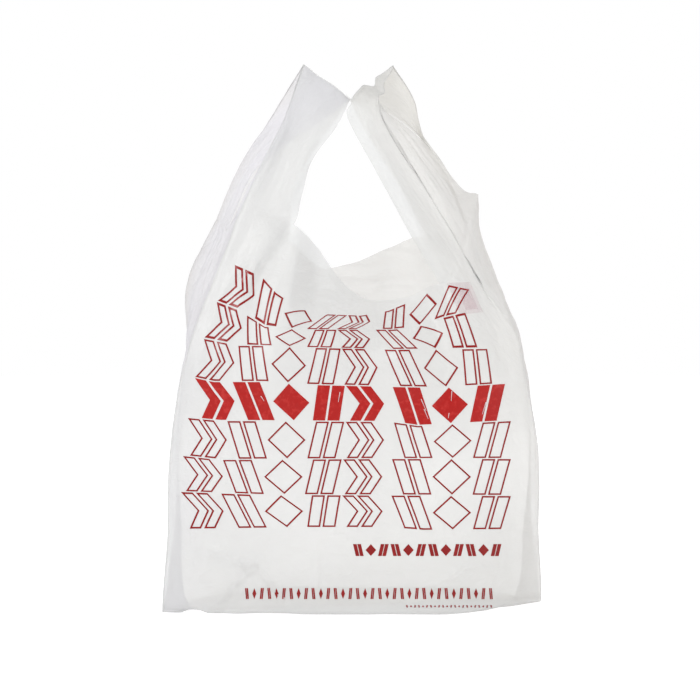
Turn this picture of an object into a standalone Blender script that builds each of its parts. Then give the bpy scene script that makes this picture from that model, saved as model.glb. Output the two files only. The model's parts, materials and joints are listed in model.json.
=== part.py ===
"""A film carrier bag with two loop handles, standing open as if filled.

The bag is one blown tube of film: a front and a back face, a gusset folded
into each side, a seal under the base and a fold over the top of each handle,
where its four layers lie together. The film is lofted through rails, each of
which is a fold line, a cut edge or the middle of a face, and is then given
its wall.
Metres, +Z up, the front faces -Y, the origin is under the middle of the base.
"""

import math

import bmesh
import bpy
from mathutils import Vector

# Driving sizes of the bag, in metres
FACE_WIDTH = 0.292
GUSSET_WIDTH = 0.165
STANDING_HEIGHT = 0.431
HANDLE_WIDTH = 0.068
FRONT_MOUTH_HEIGHT = 0.244
BACK_MOUTH_HEIGHT = 0.266
WALL = 0.0006
LAYER_PITCH = 0.0015

# The rails below are drawn in millimetres for the sizes above, and these
# stretch them to other sizes.
WIDE = FACE_WIDTH / 0.292
DEEP = GUSSET_WIDTH / 0.165
TALL = STANDING_HEIGHT / 0.431
STRIP_SHARE = HANDLE_WIDTH / 0.068 / WIDE

# The straight lower part of the bag, in drawn millimetres
FACE_HALF = 146.0
EDGE_INSET = 68.0
SHOULDER = 190.0
FLARE_HEIGHT = 85.0
FACE_DEPTH = 77.0
BASE_DEPTH = 75.0
MIDDLE_BULGE = 3.0
BASE_ROUND = 25.0
CREASE_DEPTH = 66.0
CREASE_RISE = 120.0
SEAL_END_DEPTH = 8.0
SEAL_FORWARD = {"L": 58.0, "R": 0.0}
TUCK_AT_BASE = 24.0
TUCK_AT_SHOULDER = -3.0
SEAL_RIDGE = 1.2
BASE_ROWS = (0.15, 0.93)

# Mesh density. The levels are the rows below the shoulder, in drawn mm, and
# the edges of the printed bands are among them.
LEVELS = (0, 4, 15, 26, 38, 49, 66, 86, 106, 126, 146, 162, 177)
UPPER_ROWS = 11
HANDLE_ROWS = 13
FACE_COLUMNS = 8
STRIP_COLUMNS = 6

# Printed bands: lower level, upper level, left end, right end, in drawn mm
PRINT = [
    (146, 177, -124, 118),
    (38, 49, 0, 118),
    (4, 15, -85, 112),
]

# Upper rails from the shoulder to the mouth or the foot of a handle, drawn mm,
# with heights above the shoulder.
# R and L are the bag's right and left in the front view.
UPPER = {
    "front_middle": [(-1, -80, 12), (1, -65, 29), (3, -40, 41), (6, -20, 54)],
    "front_edge_R": [(81, -72, 27), (75, -64, 48), (67, -54, 67)],
    "front_edge_L": [(-82, -70, 29), (-70, -60, 68), (-47, -40, 114)],
    "front_crease_R": [(128, -62, 27), (107, -54, 60), (87, -46, 93)],
    "front_crease_L": [(-131, -58, 24), (-114, -48, 66), (-92, -36, 127)],
    "side_fold_R": [(129, 0, 33), (109, 0, 85), (101, 0, 108), (99, 0, 138)],
    "side_fold_L": [(-129, 4, 27), (-117, 6, 68), (-102, 2, 107)],
    "back_crease_R": [(129, 62, 29), (114, 54, 68), (97, 42, 107)],
    "back_crease_L": [(-138, 62, 27), (-134, 50, 68), (-111, 34, 116)],
    "back_edge_R": [(82, 73, 38), (74, 64, 76), (59, 52, 104)],
    "back_edge_L": [(-82, 74, 31), (-72, 64, 68), (-54, 48, 99)],
    "back_middle": [(-5, 80, 18), (-12, 72, 48), (-19, 64, 76)],
}

# The handles' rails between their foot and their seal, drawn mm
HANDLE = {
    "front_edge_R": [(43, -39, 108), (21, -23, 149), (3, -10, 184)],
    "front_crease_R": [(61, -32, 135), (34, -20, 181), (21, -12, 209)],
    "gusset_front_R": [(85, -11, 143), (54, -10, 181), (24, -5, 203)],
    "gusset_back_R": [(86, 10, 143), (57, 10, 181), (27, 5, 203)],
    "back_crease_R": [(79, 26, 149), (58, 16, 183), (48, 11, 215)],
    "back_edge_R": [(39, 36, 141), (20, 20, 171), (7, 8, 193)],
    "front_edge_L": [(-41, -29, 138), (-33, -18, 165), (-14, -8, 191)],
    "front_crease_L": [(-75, -25, 166), (-63, -16, 190), (-50, -4, 220)],
    "gusset_front_L": [(-79, -11, 152), (-57, -9, 175), (-27, -4, 195)],
    "gusset_back_L": [(-83, 12, 152), (-61, 10, 175), (-30, 5, 195)],
    "back_crease_L": [(-90, 24, 162), (-71, 19, 193), (-54, 15, 221)],
    "back_edge_L": [(-50, 28, 138), (-38, 18, 165), (-21, 8, 189)],
}

# The fold line or gusset end that each handle rail rises from
FOOT = {"gusset_front": "side_fold", "gusset_back": "side_fold"}

# Each seal runs from the inner corner of its handle to the outer one, drawn mm
SEAL = {"R": [(-1, -3, 210), (31, 6, 241)], "L": [(-3, 3, 213), (-41, 7, 241)]}

# How far each seal is bent up and out of its straight line, at even steps, mm
CRUMPLE = {
    "R": [(0, 0), (5, -2), (7, -3), (7, -1), (2.5, 1), (-0.5, 2), (4, 3), (1, 1), (0, 0)],
    "L": [(0, 0), (0, -1), (0.5, -1.5), (0, 0.5), (-0.5, 1.5), (0, 1), (0, 0)],
}

# Folds in a face: x and height of both ends, half width, depth outwards, mm
FRONT_FOLDS = [
    (-54, 297, -80, 248, 8, -6.0),
    (-66, 297, -111, 191, 10, 6.0),
    (-45, 289, -66, 184, 9, 5.5),
    (-31, 279, -33, 201, 9, -5.5),
    (-15, 264, 8, 232, 8, 5.5),
    (69, 258, 110, 174, 10, 6.5),
    (59, 252, 71, 174, 9, -6.0),
    (43, 251, 37, 184, 9, 5.0),
    (22, 242, 8, 195, 9, -4.0),
    (90, 281, 127, 191, 8, -4.0),
    (-108, 50, -76, 35, 8, 5.0),
    (-76, 35, -92, 2, 8, -4.0),
    (-76, 35, -50, 5, 8, -4.0),
    (96, 61, 133, 12, 12, 3.0),
    (-140, 162, -125, 84, 12, -3.0),
    (119, 143, 129, 76, 12, -2.5),
]
BACK_FOLDS = [
    (61, 293, 114, 178, 10, 6.0),
    (49, 287, 61, 174, 9, -5.5),
    (30, 268, 28, 174, 9, 5.0),
    (-58, 287, -109, 178, 10, 6.0),
    (-45, 277, -60, 174, 9, -5.5),
    (-29, 260, -21, 180, 9, 4.5),
    (104, 57, 63, 27, 10, 3.5),
    (-113, 61, -64, 20, 10, 3.5),
    (-33, 123, 43, 104, 13, -2.5),
]
# Folds in a side: depth and height of both ends, half width, depth outwards
SIDE_FOLDS = {
    "R": [(-40, 252, -16, 110, 12, 2.5), (34, 246, 24, 130, 12, 2.0)],
    "L": [(-34, 272, -20, 100, 12, 2.5), (38, 258, 16, 120, 12, 2.0)],
}

# Pleats along the strips of the handles
PLEATS = 2.0
PLEAT_DEPTH = 5.0

FILM_COLOUR = (0.86, 0.87, 0.9, 1.0)
INK_COLOUR = (0.62, 0.02, 0.02, 1.0)


def smooth(share):
    share = min(1.0, max(0.0, share))
    return share * share * (3 - 2 * share)


def drawn(point):
    """A drawn point in metres at the bag's own sizes."""
    x, y, z = point
    return Vector((0.001 * WIDE * x, 0.001 * DEEP * y, 0.001 * TALL * z))


def above(point):
    """The same for a point whose height counts from the shoulder."""
    x, y, z = point
    return drawn((x, y, z + SHOULDER))


def spline(points, along):
    """A point on the curve through the given points, along counts in points."""
    ends = [2 * points[0] - points[1]] + list(points) + [2 * points[-1] - points[-2]]
    i = min(int(along), len(points) - 2)
    u = along - i
    a, b, c, d = ends[i:i + 4]
    return 0.5 * (
        2 * b + (c - a) * u
        + (2 * a - 5 * b + 4 * c - d) * u * u
        + (3 * b - a - 3 * c + d) * u ** 3
    )


def by_length(points, first=0, last=None, samples=48):
    """Part of the curve as a function of its share of length."""
    last = len(points) - 1 if last is None else last
    fine = [
        spline(points, first + (last - first) * i / samples)
        for i in range(samples + 1)
    ]
    run = [0.0]
    for a, b in zip(fine, fine[1:]):
        run.append(run[-1] + (b - a).length)

    def at(share):
        goal = share * run[-1]
        i = next((k for k in range(samples) if run[k + 1] >= goal), samples - 1)
        u = (goal - run[i]) / max(run[i + 1] - run[i], 1e-12)
        return fine[i].lerp(fine[i + 1], min(1.0, u))

    return at


def half_width(z):
    """Half the width of the lower part: a slight flare, then drawn in."""
    over = max(0.0, z - FLARE_HEIGHT) / (SHOULDER - FLARE_HEIGHT)
    return FACE_HALF * (1 + 0.03 * (1 - smooth(z / 70)) - 0.09 * over * over)


def lower_point(rail, z):
    """Where a rail crosses the given height in the lower part, drawn mm."""
    side = -1 if rail.endswith("L") else 1
    back = 1 if rail.startswith("back") else -1
    face = BASE_DEPTH + (FACE_DEPTH - BASE_DEPTH) * smooth(z / BASE_ROUND)
    forward = SEAL_FORWARD.get(rail[-1], 0.0)
    if rail.endswith("middle"):
        return 0.0, back * (face + MIDDLE_BULGE), z
    if "edge" in rail:
        x = FACE_HALF - EDGE_INSET * STRIP_SHARE + 4 * smooth(z / 60)
        return side * x, back * face, z
    if "crease" in rail:
        opened = min(1.0, z / CREASE_RISE) ** 0.62
        y = SEAL_END_DEPTH + (CREASE_DEPTH - SEAL_END_DEPTH) * opened
        return side * half_width(z), back * y - forward * (1 - opened), z
    tuck = TUCK_AT_BASE
    tuck += (TUCK_AT_SHOULDER - TUCK_AT_BASE) * math.sqrt(z / SHOULDER)
    y = -forward * (1 - smooth(z / CREASE_RISE))
    return side * (half_width(z) - tuck), y, z


def upper_points(rail):
    """A rail's own points from the shoulder to its end."""
    own = [above(p) for p in UPPER[rail]]
    if rail.endswith("middle"):
        front = rail.startswith("front")
        mouth = FRONT_MOUTH_HEIGHT if front else BACK_MOUTH_HEIGHT
        raised = mouth - own[-1].z
        for i, point in enumerate(own):
            point.z += raised * (i + 1) / len(own)
    if "edge" in rail:
        crease = above(UPPER[rail.replace("edge", "crease")][-1])
        own[-1] = crease.lerp(own[-1], STRIP_SHARE)
    return own


def body_rail(rail):
    """A rail from the shoulder to the mouth or the foot of a handle."""
    start = [drawn(lower_point(rail, SHOULDER - d)) for d in (40, 0)]
    points = start + upper_points(rail)
    end = len(points) - 1
    if rail in HANDLE:
        points += handle_points(rail)[1:2]
    return by_length(points, 1, end)


def handle_points(rail):
    """A handle's rail from its foot to its end of the seal."""
    kind, side = rail[:-2], rail[-1]
    foot = FOOT.get(kind, kind) + "_" + side
    inner, outer = above(SEAL[side][0]), above(SEAL[side][-1])
    own = [above(p) for p in HANDLE[rail]]
    if "crease" in kind:
        return [upper_points(foot)[-1]] + own + [outer]
    crease = ("front" if "front" in kind else "back") + "_crease_" + side
    beside = [above(p) for p in HANDLE[crease]]
    own = [c.lerp(p, STRIP_SHARE) for c, p in zip(beside, own)]
    return [upper_points(foot)[-1]] + own + [inner]


def handle_rail(rail):
    points = handle_points(rail)
    kind = rail[:-2]
    if kind in FOOT:
        return by_length(points)
    before = upper_points(rail)[-2]
    return by_length([before] + points, 1)


def fold_depth(folds, a, z):
    """The sum of the folds at a place in a face or side, drawn mm."""
    total = 0.0
    for a0, z0, a1, z1, width, depth in folds:
        da, dz = a1 - a0, z1 - z0
        share = ((a - a0) * da + (z - z0) * dz) / (da * da + dz * dz)
        share = min(1.0, max(0.0, share))
        gap2 = (a - a0 - share * da) ** 2 + (z - z0 - share * dz) ** 2
        total += depth * math.exp(-gap2 / (width * width))
    return total


def in_drawn(point):
    return 1000 * point.x / WIDE, 1000 * point.y / DEEP, 1000 * point.z / TALL


def face_run(ring, back):
    """The points across a face, in the order in which the ring is walked."""
    name = "back" if back else "front"
    sides = ("R", "L") if back else ("L", "R")
    corners = [
        ring[name + "_crease_" + sides[0]], ring[name + "_edge_" + sides[0]],
        ring[name + "_middle"],
        ring[name + "_edge_" + sides[1]], ring[name + "_crease_" + sides[1]],
    ]
    counts = (STRIP_COLUMNS, FACE_COLUMNS, FACE_COLUMNS, STRIP_COLUMNS)
    folds = BACK_FOLDS if back else FRONT_FOLDS
    outward = Vector((0, 0.001 if back else -0.001, 0))
    run = []
    for part, count in enumerate(counts):
        for k in range(count):
            along = part + k / count
            point = spline(corners, along)
            x, y, z = in_drawn(point)
            point.z = max(point.z, 0.0)
            held = min(1.0, 2.5 * min(along, 4 - along)) * smooth(z / 14)
            run.append(point + outward * held * fold_depth(folds, x, z))
    return run


def side_run(ring, side):
    """The points across a gusset, in the order in which the ring is walked."""
    first, last = ("front", "back") if side == "R" else ("back", "front")
    corners = [
        ring[first + "_crease_" + side], ring["side_fold_" + side],
        ring[last + "_crease_" + side],
    ]
    outward = Vector((0.001 if side == "R" else -0.001, 0, 0))
    run = []
    for part in range(2):
        for k in range(STRIP_COLUMNS):
            share = k / STRIP_COLUMNS
            point = corners[part].lerp(corners[part + 1], share)
            x, y, z = in_drawn(point)
            held = math.sin(math.pi * share) * smooth(z / 60)
            depth = fold_depth(SIDE_FOLDS[side], y, z)
            run.append(point + outward * held * depth)
    return run


def ring_at(places):
    """One closed row of the body, starting at the front left crease."""
    return (
        face_run(places, False) + side_run(places, "R")
        + face_run(places, True) + side_run(places, "L")
    )


def body_rows():
    rows = []
    for z in LEVELS:
        rows.append(ring_at({r: drawn(lower_point(r, z)) for r in UPPER}))
    rails = {rail: body_rail(rail) for rail in UPPER}
    for i in range(UPPER_ROWS + 1):
        rows.append(ring_at({r: rails[r](i / UPPER_ROWS) for r in rails}))
    return rows


def seal_frame(side):
    """The seal's inner end, chord, normal towards the front and way up."""
    inner, outer = above(SEAL[side][0]), above(SEAL[side][-1])
    chord = outer - inner
    turn = 1 if side == "R" else -1
    up = Vector((-chord.z, 0, chord.x)).normalized() * turn
    normal = chord.cross(up).normalized() * turn
    return inner, chord, normal, up


def crumpled(point, side):
    """Bends all the layers near a seal as one, along the drawn seal."""
    inner, chord, normal, up = seal_frame(side)
    bends = [Vector(bend) * 0.001 for bend in CRUMPLE[side]]
    c = (point - inner).dot(chord) / chord.length_squared
    c = min(1.0, max(0.0, c))
    below = max(0.0, (inner + chord * c - point).dot(up))
    bend = spline(bends, c * (len(bends) - 1))
    bend *= smooth(1 - below / (0.11 * STANDING_HEIGHT))
    return point + up * bend.x - normal * bend.y


def strip_point(rails, kind, c, t):
    """A place in a handle's strip, c runs from the cut edge to the crease."""
    return rails[kind](t).lerp(rails["crease"](t), c)


def ribbon(side, back, feet):
    """Half a handle, from its foot to its seal, with one list for each row."""
    name = "back" if back else "front"
    rails = {
        "crease": handle_rail(name + "_crease_" + side),
        "face": handle_rail(name + "_edge_" + side),
        "gusset": handle_rail("gusset_" + name + "_" + side),
    }
    columns = [("face", k / STRIP_COLUMNS) for k in range(STRIP_COLUMNS + 1)]
    columns += [("gusset", 1 - k / STRIP_COLUMNS) for k in range(1, STRIP_COLUMNS + 1)]
    sign = 1 if back else -1
    turn = 1 if side == "R" else -1

    def place(kind, c, t):
        point = strip_point(rails, kind, c, t)
        ahead = strip_point(rails, kind, c, min(1, t + 0.02))
        behind = strip_point(rails, kind, c, max(0, t - 0.02))
        normal = (rails["crease"](t) - rails[kind](t)).cross(ahead - behind)
        normal = normal.normalized() * (turn * -sign)
        at_seal = seal_frame(side)[2] * -sign
        normal = normal.lerp(at_seal, smooth(t / 0.9)).normalized()
        wave = math.sin(math.pi * PLEATS * c) * math.sin(math.pi * t)
        depth = PLEAT_DEPTH * (1.0 if kind == "face" else 0.5)
        layer = 1.5 if kind == "face" else 0.5
        if c > 0.99:
            layer = 1.0
        out = 0.001 * depth * wave * (1 - t) + layer * LAYER_PITCH * smooth(t)
        return crumpled(point + normal * out, side)

    starts = [foot - place(kind, c, 0) for foot, (kind, c) in zip(feet, columns)]
    rows = []
    for j in range(1, HANDLE_ROWS + 1):
        t = j / HANDLE_ROWS
        fade = 1 - smooth(t / 0.45)
        rows.append([
            place(kind, c, t) + start * fade
            for start, (kind, c) in zip(starts, columns)
        ])
    return rows


def add_rows(mesh, rows):
    return [[mesh.verts.new(p) for p in row] for row in rows]


def join_rows(mesh, lower, upper, material=None):
    for k in range(len(lower) - 1):
        face = mesh.faces.new((lower[k], lower[k + 1], upper[k + 1], upper[k]))
        if material:
            face.material_index = material(k)


def printed(level, x):
    """Whether a front patch between two levels and around x takes ink."""
    if level + 1 >= len(LEVELS):
        return False
    low, high = LEVELS[level], LEVELS[level + 1]
    return any(p[0] <= low and high <= p[1] and p[2] < x < p[3] for p in PRINT)


def level_with(point, other):
    """The point at the height of the other."""
    return Vector((point.x, point.y, other.z))


def add_base(mesh, ring, half):
    """The base: each half reaches from the foot of its wall to the seal."""
    columns = 2 * (STRIP_COLUMNS + FACE_COLUMNS)
    gusset = 2 * STRIP_COLUMNS
    front = ring[:columns + 1]
    right = ring[columns:columns + gusset + 1]
    back = ring[columns + gusset:half + columns + 1]
    left = ring[half + columns:] + ring[:1]
    tuck_right, tuck_left = right[STRIP_COLUMNS], left[STRIP_COLUMNS]
    seal = [tuck_left]
    for k in range(1, columns):
        point = tuck_left.co.lerp(tuck_right.co, k / columns)
        ridge = 0.001 * SEAL_RIDGE * smooth(min(k, columns - k) / 3)
        seal.append(mesh.verts.new(point + Vector((0, 0, ridge))))
    seal.append(tuck_right)
    halves = ((front, seal, left, right), (back, seal[::-1], right, left))
    for wall, line, before, after in halves:
        strips = [wall[1:columns]]
        for share in BASE_ROWS:
            strips.append([
                mesh.verts.new(a.co.lerp(level_with(b.co, a.co), share))
                for a, b in zip(wall[1:columns], line[1:columns])
            ])
        strips.append(line[1:columns])
        for outer, inner in zip(strips, strips[1:]):
            for k in range(len(outer) - 1):
                mesh.faces.new((outer[k], inner[k], inner[k + 1], outer[k + 1]))
        start = before[STRIP_COLUMNS:] + [strip[0] for strip in strips]
        mesh.faces.new(start[::-1])
        end = [strip[-1] for strip in strips] + after[STRIP_COLUMNS::-1]
        mesh.faces.new(end)


def add_handle(mesh, side, front_feet, back_feet):
    """A handle: both its halves and the fold over its top."""
    front = ribbon(side, False, [v.co for v in front_feet])
    back = ribbon(side, True, [v.co for v in back_feet])
    top = []
    for k, (a, b) in enumerate(zip(front[-1], back[-1])):
        nested = 0.0 if k < STRIP_COLUMNS else 1.0
        if k == STRIP_COLUMNS:
            nested = 0.5
        rise = LAYER_PITCH * (1.5 - 1.4 * nested)
        top.append(0.5 * (a + b) + seal_frame(side)[3] * rise)
    front, back = add_rows(mesh, front), add_rows(mesh, back)
    top = [mesh.verts.new(p) for p in top]
    rows = [front_feet] + front + [top] + back[::-1] + [back_feet]
    for lower, upper in zip(rows, rows[1:]):
        if side == "R":
            join_rows(mesh, lower, upper)
        else:
            join_rows(mesh, lower[::-1], upper[::-1])


def film_mesh():
    mesh = bmesh.new()
    rows = body_rows()
    columns = 2 * (STRIP_COLUMNS + FACE_COLUMNS)
    half = columns + 2 * STRIP_COLUMNS
    placed = add_rows(mesh, rows)
    for level, (lower, upper) in enumerate(zip(placed, placed[1:])):
        row = rows[level]

        def ink(k, level=level, row=row):
            if k >= columns:
                return 0
            x = in_drawn((row[k] + row[k + 1]) / 2)[0]
            return 1 if printed(level, x) else 0

        join_rows(mesh, lower + lower[:1], upper + upper[:1], ink)
    add_base(mesh, placed[0], half)
    top = placed[-1]
    strip, gusset = STRIP_COLUMNS, 2 * STRIP_COLUMNS
    right_front = top[columns - strip:columns + strip + 1]
    right_back = top[columns + strip:columns + gusset + strip + 1][::-1]
    left_front = (top[half + columns + strip:] + top[:strip + 1])[::-1]
    left_back = top[half + columns - strip:half + columns + strip + 1]
    add_handle(mesh, "R", right_front, right_back)
    add_handle(mesh, "L", left_front, left_back)
    ngons = [f for f in mesh.faces if len(f.verts) > 4]
    bmesh.ops.triangulate(mesh, faces=ngons)
    low = Vector([min(v.co[i] for v in mesh.verts) for i in range(3)])
    high = Vector([max(v.co[i] for v in mesh.verts) for i in range(3)])
    shift = Vector((-(low.x + high.x) / 2, -(low.y + high.y) / 2, WALL / 2 - low.z))
    bmesh.ops.translate(mesh, verts=mesh.verts[:], vec=shift)
    data = bpy.data.meshes.new("carrier_bag")
    mesh.to_mesh(data)
    mesh.free()
    return data


def material(name, colour, roughness, transmission):
    made = bpy.data.materials.new(name)
    made.use_nodes = True
    shader = made.node_tree.nodes["Principled BSDF"]
    shader.inputs["Base Color"].default_value = colour
    shader.inputs["Roughness"].default_value = roughness
    shader.inputs["Transmission Weight"].default_value = transmission
    made.diffuse_color = colour
    return made


def build():
    for old in list(bpy.data.objects):
        bpy.data.objects.remove(old, do_unlink=True)
    group = bpy.data.collections.new("film_carrier_bag")
    bpy.context.scene.collection.children.link(group)
    bag = bpy.data.objects.new("carrier_bag", film_mesh())
    group.objects.link(bag)
    bag.data.materials.append(material("film", FILM_COLOUR, 0.35, 0.4))
    bag.data.materials.append(material("ink", INK_COLOUR, 0.4, 0.0))
    wall = bag.modifiers.new("wall", "SOLIDIFY")
    wall.thickness = WALL
    wall.offset = 0.0
    for face in bag.data.polygons:
        face.use_smooth = True


build()
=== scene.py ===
import json
import math

import bpy
import numpy as np
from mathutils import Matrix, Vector
from mathutils.bvhtree import BVHTree

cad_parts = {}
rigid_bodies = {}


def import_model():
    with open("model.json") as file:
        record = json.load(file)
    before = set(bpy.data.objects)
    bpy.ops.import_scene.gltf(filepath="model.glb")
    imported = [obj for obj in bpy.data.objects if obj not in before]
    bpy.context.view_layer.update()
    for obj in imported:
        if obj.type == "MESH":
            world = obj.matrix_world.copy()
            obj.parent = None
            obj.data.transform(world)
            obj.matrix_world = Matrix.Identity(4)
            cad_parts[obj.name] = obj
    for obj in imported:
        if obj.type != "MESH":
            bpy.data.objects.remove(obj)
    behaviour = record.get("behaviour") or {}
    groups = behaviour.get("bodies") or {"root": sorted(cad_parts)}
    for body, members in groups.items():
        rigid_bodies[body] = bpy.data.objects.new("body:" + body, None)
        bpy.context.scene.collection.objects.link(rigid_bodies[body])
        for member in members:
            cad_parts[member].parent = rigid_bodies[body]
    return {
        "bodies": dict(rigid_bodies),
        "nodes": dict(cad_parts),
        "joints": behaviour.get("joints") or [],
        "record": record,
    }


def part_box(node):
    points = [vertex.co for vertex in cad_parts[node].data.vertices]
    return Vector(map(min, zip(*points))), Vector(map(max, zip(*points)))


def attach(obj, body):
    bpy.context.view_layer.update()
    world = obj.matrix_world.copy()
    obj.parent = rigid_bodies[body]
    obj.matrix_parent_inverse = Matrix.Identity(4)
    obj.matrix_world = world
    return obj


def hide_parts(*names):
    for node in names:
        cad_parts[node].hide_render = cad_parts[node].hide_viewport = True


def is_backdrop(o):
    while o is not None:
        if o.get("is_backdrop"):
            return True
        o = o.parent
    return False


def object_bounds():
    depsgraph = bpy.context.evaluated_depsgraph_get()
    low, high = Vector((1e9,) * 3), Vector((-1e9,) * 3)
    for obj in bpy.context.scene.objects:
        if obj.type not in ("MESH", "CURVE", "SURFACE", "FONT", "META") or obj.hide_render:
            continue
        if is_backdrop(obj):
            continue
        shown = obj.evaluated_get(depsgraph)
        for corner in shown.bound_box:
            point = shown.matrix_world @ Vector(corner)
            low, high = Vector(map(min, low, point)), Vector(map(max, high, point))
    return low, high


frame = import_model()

cad_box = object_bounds()

# The bag's sizes in metres, as in the part's source
FACE_WIDTH = 0.292
GUSSET_WIDTH = 0.165
STANDING_HEIGHT = 0.431
HANDLE_WIDTH = 0.068
FRONT_MOUTH_HEIGHT = 0.244
BACK_MOUTH_HEIGHT = 0.266

# The rails below are drawn in millimetres for the sizes above, and these
# stretch them to other sizes.
WIDE = FACE_WIDTH / 0.292
DEEP = GUSSET_WIDTH / 0.165
TALL = STANDING_HEIGHT / 0.431
STRIP_SHARE = HANDLE_WIDTH / 0.068 / WIDE

# All the way round the flat tube, metres
TUBE = 2 * (FACE_WIDTH + GUSSET_WIDTH)

# The straight lower part of the bag, in drawn millimetres
FACE_HALF = 146
EDGE_INSET = 68
SHOULDER = 190
FLARE_HEIGHT = 85
FACE_DEPTH = 77
BASE_DEPTH = 75
MIDDLE_BULGE = 3
BASE_ROUND = 25
CREASE_DEPTH = 66
CREASE_RISE = 120
SEAL_END_DEPTH = 8
SEAL_FORWARD = {"L": 58, "R": 0}
TUCK_AT_BASE = 24
TUCK_AT_SHOULDER = -3
FLARE = 0.03
FLARE_FADE = 70
DRAWN_IN = 0.09
EDGE_SPREAD = 4
EDGE_SPREAD_HEIGHT = 60
CREASE_CURVE = 0.62
RUN_IN = 40
SEAL_RIDGE = 1.2
RIDGE_ENDS = 10

# Mesh density: the rows, the columns of half a face's middle and of a strip, and
# how far from the wall to its seal each row of the base lies
LOWER_ROWS = 72
UPPER_ROWS = 46
HANDLE_ROWS = 60
FACE_COLUMNS, STRIP = 34, 24
BASE_SHARES = (0.08, 0.2, 0.34, 0.48, 0.62, 0.75, 0.86, 0.94)

# Upper rails from the shoulder to the mouth or the foot of a handle, drawn mm,
# with heights above the shoulder.
# R and L are the bag's right and left in the front view.
UPPER = {
    "front_middle": [(-1, -80, 12), (1, -65, 29), (3, -40, 41), (6, -20, 54)],
    "front_edge_R": [(81, -72, 27), (75, -64, 48), (67, -54, 67)],
    "front_edge_L": [(-82, -70, 29), (-70, -60, 68), (-47, -40, 114)],
    "front_crease_R": [(128, -62, 27), (107, -54, 60), (87, -46, 93)],
    "front_crease_L": [(-127, -60, 24), (-109, -50, 66), (-86, -38, 125)],
    "side_fold_R": [(129, 0, 33), (109, 0, 85), (101, 0, 108), (99, 0, 138)],
    "side_fold_L": [(-129, 4, 27), (-117, 6, 68), (-102, 2, 107)],
    "back_crease_R": [(129, 62, 29), (114, 54, 68), (97, 42, 107)],
    "back_crease_L": [(-138, 62, 27), (-134, 50, 68), (-111, 34, 116)],
    "back_edge_R": [(82, 73, 38), (74, 64, 76), (59, 52, 104)],
    "back_edge_L": [(-82, 74, 31), (-72, 64, 68), (-54, 48, 99)],
    "back_middle": [(-5, 80, 18), (-12, 72, 48), (-19, 64, 76)],
}

# The handles' rails between their foot and their seal, drawn mm
HANDLE = {
    "front_edge_R": [(43, -39, 108), (21, -23, 149), (-4, -8, 196)],
    "front_crease_R": [(61, -32, 135), (34, -20, 181), (21, -12, 209)],
    "gusset_front_R": [(85, -11, 143), (54, -10, 181), (24, -5, 203)],
    "gusset_back_R": [(86, 10, 143), (57, 10, 181), (27, 5, 203)],
    "back_crease_R": [(79, 26, 149), (58, 16, 183), (48, 11, 215)],
    "back_edge_R": [(39, 36, 141), (20, 20, 171), (7, 8, 193)],
    "front_edge_L": [(-41, -29, 138), (-33, -18, 165), (-14, -8, 191)],
    "front_crease_L": [(-69, -27, 164), (-58, -18, 189), (-48, -5, 220)],
    "gusset_front_L": [(-79, -11, 152), (-57, -9, 175), (-27, -4, 195)],
    "gusset_back_L": [(-83, 12, 152), (-61, 10, 175), (-30, 5, 195)],
    "back_crease_L": [(-90, 24, 162), (-71, 19, 193), (-54, 15, 221)],
    "back_edge_L": [(-50, 28, 138), (-38, 18, 165), (-21, 8, 189)],
}

# The fold line or gusset end that each handle rail rises from
FOOT = {"gusset_front": "side_fold", "gusset_back": "side_fold"}

# Each seal runs from the inner corner of its handle to the outer one, drawn mm
SEAL = {"R": [(-1, -3, 210), (31, 6, 241)], "L": [(-3, 3, 213), (-41, 7, 241)]}

# How far each seal is bent up and out of its straight line, at even steps, mm
CRUMPLE = {
    "R": [(1.5, 0), (3, -2), (3.4, -3), (3.2, -1), (-3, 1), (1, 2), (0, 3), (-1, 1), (-1, 0)],
    "L": [(0, 0), (0, -1), (0.5, -1.5), (0, 0.5), (-0.5, 1.5), (0, 1), (0, 0)],
}

# Folds in a face: x and height of both ends, half width, depth outwards, mm
FRONT_FOLDS = [
    (-54, 297, -80, 248, 8, -6), (-66, 297, -111, 191, 10, 6),
    (-45, 289, -66, 184, 9, 5.5), (-31, 279, -33, 201, 9, -5.5),
    (-15, 264, 8, 232, 8, 5.5), (69, 258, 110, 174, 10, 6.5),
    (59, 252, 71, 174, 9, -6), (43, 251, 37, 184, 9, 5),
    (22, 242, 8, 195, 9, -4), (90, 281, 127, 191, 8, -4),
    (-108, 50, -76, 35, 8, 5), (-76, 35, -92, 2, 8, -4),
    (-76, 35, -50, 5, 8, -4), (96, 61, 133, 12, 12, 3),
    (-140, 162, -125, 84, 12, -3), (119, 143, 129, 76, 12, -2.5),
]
BACK_FOLDS = [
    (61, 293, 114, 178, 10, 6), (49, 287, 61, 174, 9, -5.5),
    (30, 268, 28, 174, 9, 5), (-58, 287, -109, 178, 10, 6),
    (-45, 277, -60, 174, 9, -5.5), (-29, 260, -21, 180, 9, 4.5),
    (104, 57, 63, 27, 10, 3.5), (-113, 61, -64, 20, 10, 3.5),
    (-33, 123, 43, 104, 13, -2.5),
]
# Folds in a side: depth and height of both ends, half width, depth outwards
SIDE_FOLDS = {
    "R": [(-40, 252, -16, 110, 12, 2.5), (34, 246, 24, 130, 12, 2)],
    "L": [(-34, 272, -20, 100, 12, 2.5), (38, 258, 16, 120, 12, 2)],
}

# The height over which the folds of a face and of a side begin, drawn mm
FACE_FOLDS_FROM = 14
SIDE_FOLDS_FROM = 60

# Pleats along the strips of the handles
PLEATS = 2
PLEAT_DEPTH = 5

# The distance between a handle's layers at its seal, metres, and how many of it
# each layer lies from the middle
LAYER_PITCH = 0.0009
FACE_LAYER, GUSSET_LAYER, CREASE_LAYER = 1.5, 0.5, 1
CREST_LAYER = 0.1

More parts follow.
